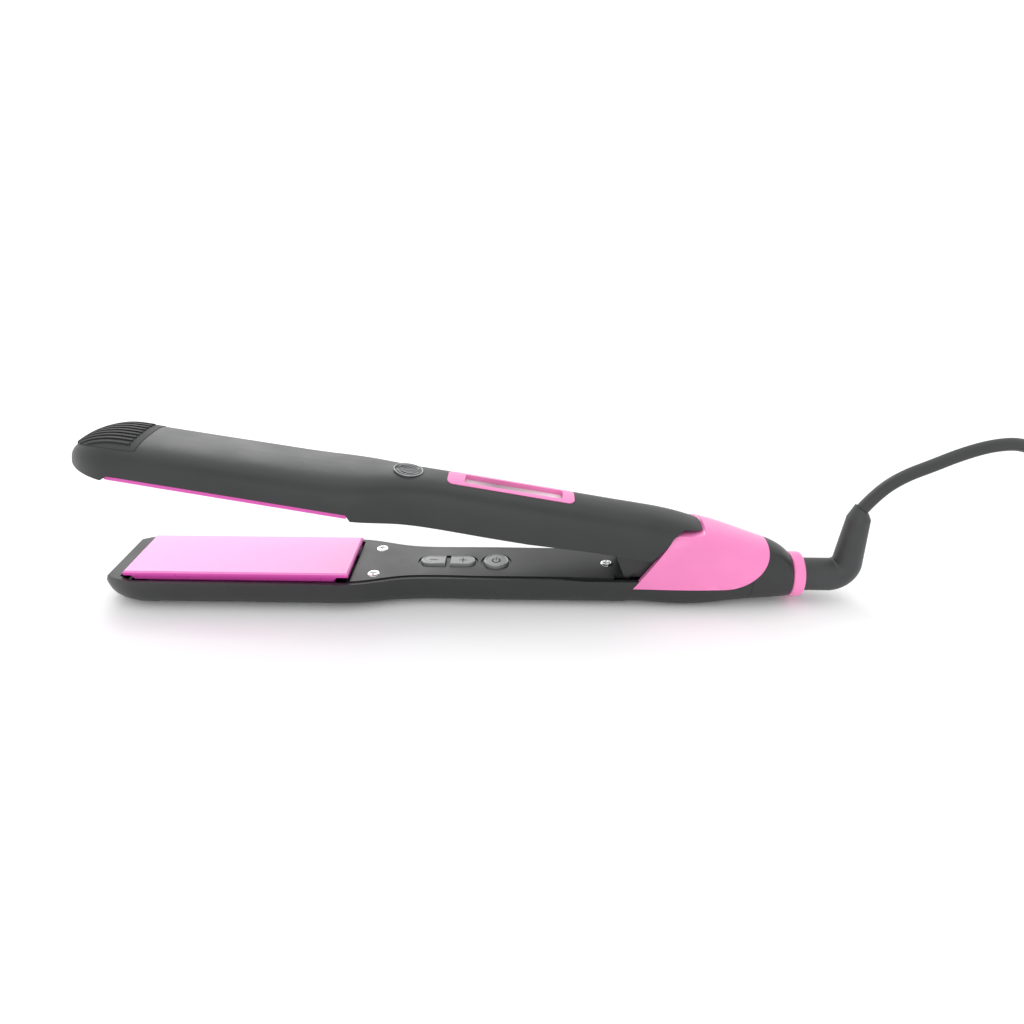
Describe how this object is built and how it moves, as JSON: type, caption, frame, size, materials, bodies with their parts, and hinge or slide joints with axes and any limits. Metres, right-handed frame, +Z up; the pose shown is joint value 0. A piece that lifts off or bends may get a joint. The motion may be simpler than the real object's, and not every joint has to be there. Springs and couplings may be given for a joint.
{
  "type": "flat iron",
  "caption": "Flat iron with two hinged arms, floating pink plates, display, control keys and a swivel mains cord.",
  "frame": {"origin": "on the rest plane, straight below the hinge pin, in the middle plane", "axes": "+X from the plates towards the cord, +Y to the right-hand side seen from the cord end looking at the tips, +Z up"},
  "size_m": [0.6005, 0.0443, 0.0717],
  "materials": {
    "housing_plastic": "matte charcoal",
    "inner_plastic": "fine satin charcoal",
    "grip_rubber": "matte soft grip",
    "pink_gloss": "gloss pink",
    "plate_coating": "satin pink ceramic coating on aluminium",
    "heater_ceramic": "matte",
    "seat_plastic": "heat-proof matte black",
    "spring_steel": "bright",
    "screw_steel": "bright plated",
    "key_plastic": "silver grey satin",
    "circuit_board": "green solder mask",
    "switch_plastic": "matte",
    "brass": "bright",
    "silicone": "matte",
    "clear_lens": "glossy grey lens",
    "badge_metal": "dark disc with bright arcs",
    "cord_pvc": "matte black sheath",
    "lead_insulation": "matte",
    "tie_fabric": "woven",
    "sensor_glass": "clear bead"
  },
  "bodies": {
    "lower_arm": {"lower_housing": "housing_plastic", "lower_inner_cover": "inner_plastic", "lower_tip_grip": "grip_rubber", "lower_cover_screws": "screw_steel", "lower_plate_seat": "seat_plastic", "control_board": "circuit_board", "push_switches": "switch_plastic", "board_screws": "screw_steel", "indicator_window": "clear_lens", "lower_heater_leads": "lead_insulation", "hinge_cover": "pink_gloss", "hinge_pin": "screw_steel", "arm_spring": "spring_steel", "hinge_leads": "lead_insulation", "supply_leads": "lead_insulation", "swivel_collar": "inner_plastic", "trim_ring": "pink_gloss", "swivel_contacts": "brass", "lower_plate_cushions": "silicone", "cord_tube": "cord_pvc", "cord_coil": "cord_pvc", "coil_tie": "tie_fabric", "cord_tail": "cord_pvc", "plug_body": "cord_pvc", "plug_pins": "brass"},
    "upper_arm": {"upper_housing": "housing_plastic", "upper_inner_cover": "inner_plastic", "upper_tip_grip": "grip_rubber", "upper_cover_screws": "screw_steel", "upper_plate_seat": "seat_plastic", "display_bezel": "pink_gloss", "display_lens": "clear_lens", "display_board": "circuit_board", "round_badge": "badge_metal", "hinge_bushes": "brass", "upper_plate_cushions": "silicone", "upper_heater_leads": "lead_insulation"},
    "lower_plate_group": {"lower_plate": "plate_coating", "lower_heater": "heater_ceramic", "lower_heater_clamp": "spring_steel", "temperature_sensor": "sensor_glass"},
    "upper_plate_group": {"upper_plate": "plate_coating", "upper_heater": "heater_ceramic", "upper_heater_clamp": "spring_steel", "thermal_fuse": "sensor_glass"},
    "swivel": {"cord_elbow": "cord_pvc", "swivel_rotor": "switch_plastic", "slip_rings": "brass"},
    "minus_key": {"minus_button": "key_plastic"},
    "plus_key": {"plus_button": "key_plastic"},
    "power_key": {"power_button": "key_plastic"}
  },
  "joints": [
    {"name": "arm_hinge", "type": "hinge", "parent": "lower_arm", "child": "upper_arm", "pos_m": [0, 0, 0.018], "axis": [0, -1, 0], "range_deg": [0, 9.9], "stiffness_Nm_per_rad": 0.6, "springref_deg": -28.65, "deforming": ["arm_spring", "hinge_leads"]},
    {"name": "lower_plate_float", "type": "slide", "parent": "lower_arm", "child": "lower_plate_group", "axis": [0, 0, -1], "range_m": [0, 0.001], "stiffness_N_per_m": 3000, "springref_m": -0.001, "deforming": ["lower_plate_cushions", "lower_heater_leads"]},
    {"name": "upper_plate_float", "type": "slide", "parent": "upper_arm", "child": "upper_plate_group", "axis": [0.1719, 0, 0.9851], "range_m": [0, 0.001], "stiffness_N_per_m": 3000, "springref_m": -0.001, "deforming": ["upper_plate_cushions", "upper_heater_leads"]},
    {"name": "cord_swivel", "type": "hinge", "parent": "lower_arm", "child": "swivel", "pos_m": [0.0385, 0, 0.0106], "axis": [1, 0, 0], "continuous": true, "deforming": ["cord_tube"]},
    {"name": "minus_press", "type": "slide", "parent": "lower_arm", "child": "minus_key", "axis": [0, 0, -1], "range_m": [0, 0.0004], "stiffness_N_per_m": 600, "springref_m": -0.0005},
    {"name": "plus_press", "type": "slide", "parent": "lower_arm", "child": "plus_key", "axis": [0, 0, -1], "range_m": [0, 0.0004], "stiffness_N_per_m": 600, "springref_m": -0.0005},
    {"name": "power_press", "type": "slide", "parent": "lower_arm", "child": "power_key", "axis": [0, 0, -1], "range_m": [0, 0.0004], "stiffness_N_per_m": 600, "springref_m": -0.0005}
  ]
}
